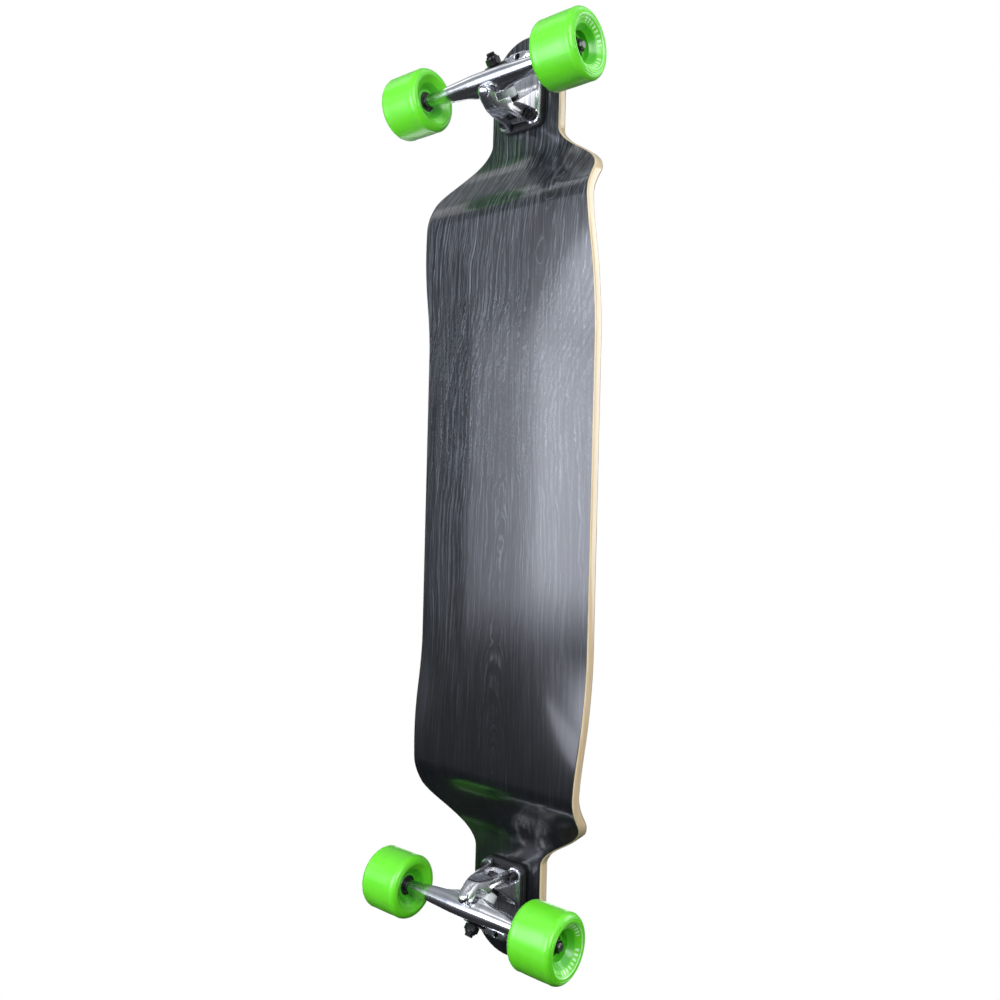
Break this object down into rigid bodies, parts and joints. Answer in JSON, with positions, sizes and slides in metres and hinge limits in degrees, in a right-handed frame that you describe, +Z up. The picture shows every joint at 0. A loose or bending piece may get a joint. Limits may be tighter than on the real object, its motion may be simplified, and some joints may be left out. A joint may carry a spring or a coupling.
{
  "type": "longboard skateboard",
  "caption": "Drop-deck longboard skateboard with stained wooden deck, grip tape, reverse-kingpin trucks that lean to steer, and urethane wheels on bearings.",
  "frame": {"origin": "on the ground under the middle of the deck, where the wheels stand", "axes": "+X towards the nose along the deck, +Y to the rider's left, +Z up"},
  "size_m": [1.051, 0.266, 0.1166],
  "materials": {
    "stained_wood": "black-stained maple under gloss lacquer",
    "grit": "black abrasive grit",
    "riser_rubber": "black moulded",
    "cast_aluminium": "polished casting",
    "black_steel": "black oxide, satin",
    "axle_steel": "ground",
    "bearing_shield": "black moulded shield",
    "bushing_urethane": "pearl white satin",
    "wheel_urethane": "smooth lime green urethane"
  },
  "bodies": {
    "board": {"deck": "stained_wood", "grip_tape": "grit", "front_riser_pad": "riser_rubber", "front_mounting_bolt_1": "black_steel", "front_mounting_bolt_2": "black_steel", "front_mounting_bolt_3": "black_steel", "front_mounting_bolt_4": "black_steel", "front_lock_nut_1": "black_steel", "front_lock_nut_2": "black_steel", "front_lock_nut_3": "black_steel", "front_lock_nut_4": "black_steel", "front_baseplate": "cast_aluminium", "front_pivot_cup": "bushing_urethane", "front_kingpin": "black_steel", "front_board_side_bushing": "bushing_urethane", "front_road_side_bushing": "bushing_urethane", "front_board_side_washer": "black_steel", "front_road_side_washer": "black_steel", "front_kingpin_nut": "black_steel", "rear_riser_pad": "riser_rubber", "rear_mounting_bolt_1": "black_steel", "rear_mounting_bolt_2": "black_steel", "rear_mounting_bolt_3": "black_steel", "rear_mounting_bolt_4": "black_steel", "rear_lock_nut_1": "black_steel", "rear_lock_nut_2": "black_steel", "rear_lock_nut_3": "black_steel", "rear_lock_nut_4": "black_steel", "rear_baseplate": "cast_aluminium", "rear_pivot_cup": "bushing_urethane", "rear_kingpin": "black_steel", "rear_board_side_bushing": "bushing_urethane", "rear_road_side_bushing": "bushing_urethane", "rear_board_side_washer": "black_steel", "rear_road_side_washer": "black_steel", "rear_kingpin_nut": "black_steel"},
    "front_hanger": {"front_hanger": "cast_aluminium", "front_axle": "axle_steel", "front_left_axle_nut": "black_steel", "front_right_axle_nut": "black_steel"},
    "rear_hanger": {"rear_hanger": "cast_aluminium", "rear_axle": "axle_steel", "rear_left_axle_nut": "black_steel", "rear_right_axle_nut": "black_steel"},
    "front_left_wheel": {"front_left_wheel": "wheel_urethane", "front_left_inner_bearing": "bearing_shield", "front_left_outer_bearing": "bearing_shield", "front_left_bearing_spacer": "axle_steel"},
    "front_right_wheel": {"front_right_wheel": "wheel_urethane", "front_right_inner_bearing": "bearing_shield", "front_right_outer_bearing": "bearing_shield", "front_right_bearing_spacer": "axle_steel"},
    "rear_left_wheel": {"rear_left_wheel": "wheel_urethane", "rear_left_inner_bearing": "bearing_shield", "rear_left_outer_bearing": "bearing_shield", "rear_left_bearing_spacer": "axle_steel"},
    "rear_right_wheel": {"rear_right_wheel": "wheel_urethane", "rear_right_inner_bearing": "bearing_shield", "rear_right_outer_bearing": "bearing_shield", "rear_right_bearing_spacer": "axle_steel"}
  },
  "joints": [
    {"name": "front_lean", "type": "hinge", "parent": "board", "child": "front_hanger", "pos_m": [0.4575, 0, 0.0573], "axis": [0.6428, 0, 0.766], "range_deg": [-20, 20], "stiffness_Nm_per_rad": 40, "deforming": ["front_board_side_bushing", "front_road_side_bushing"]},
    {"name": "rear_lean", "type": "hinge", "parent": "board", "child": "rear_hanger", "pos_m": [-0.4575, 0, 0.0573], "axis": [-0.6428, 0, 0.766], "range_deg": [-20, 20], "stiffness_Nm_per_rad": 40, "deforming": ["rear_board_side_bushing", "rear_road_side_bushing"]},
    {"name": "front_left_wheel_spin", "type": "hinge", "parent": "front_hanger", "child": "front_left_wheel", "pos_m": [0.45, 0, 0.035], "axis": [0, 1, 0], "continuous": true},
    {"name": "front_right_wheel_spin", "type": "hinge", "parent": "front_hanger", "child": "front_right_wheel", "pos_m": [0.45, 0, 0.035], "axis": [0, 1, 0], "continuous": true},
    {"name": "rear_left_wheel_spin", "type": "hinge", "parent": "rear_hanger", "child": "rear_left_wheel", "pos_m": [-0.45, 0, 0.035], "axis": [0, 1, 0], "continuous": true},
    {"name": "rear_right_wheel_spin", "type": "hinge", "parent": "rear_hanger", "child": "rear_right_wheel", "pos_m": [-0.45, 0, 0.035], "axis": [0, 1, 0], "continuous": true}
  ]
}
